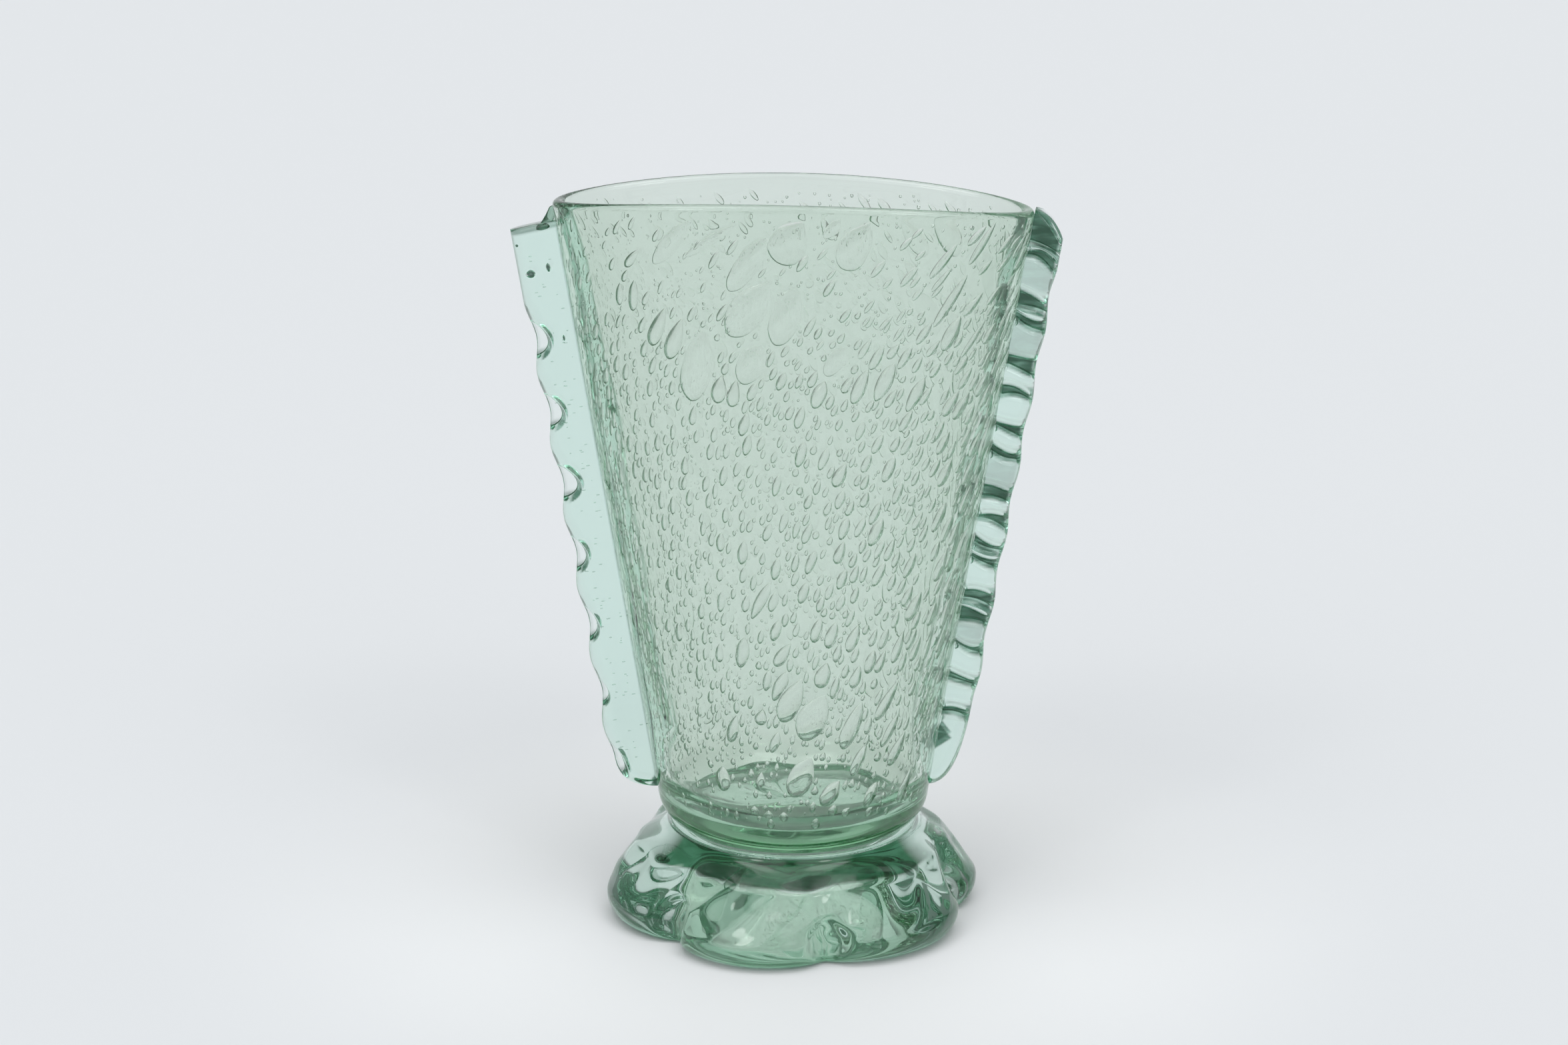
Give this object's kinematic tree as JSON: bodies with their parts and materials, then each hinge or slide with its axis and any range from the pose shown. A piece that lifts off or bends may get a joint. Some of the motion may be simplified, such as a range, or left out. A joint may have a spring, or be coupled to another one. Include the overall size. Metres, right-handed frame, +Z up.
{
  "type": "fan vase",
  "caption": "Oval flaring flower vase of bubbled pale green glass with a pinched lobed foot and a pinched glass ribbon along each narrow end.",
  "frame": {"origin": "on the table, under the vessel's axis, in the middle of the foot's flat underside", "axes": "+Z up, X along the long way of the mouth with the smooth wing at -X, -Y towards the front"},
  "size_m": [0.1518, 0.1082, 0.2086],
  "materials": {
    "bubbled_glass": "glossy, full of air bubbles",
    "clear_glass": "glossy, clear"
  },
  "bodies": {
    "root": {"body": "bubbled_glass", "foot": "clear_glass", "left_wing": "clear_glass", "right_wing": "clear_glass"}
  },
  "joints": []
}
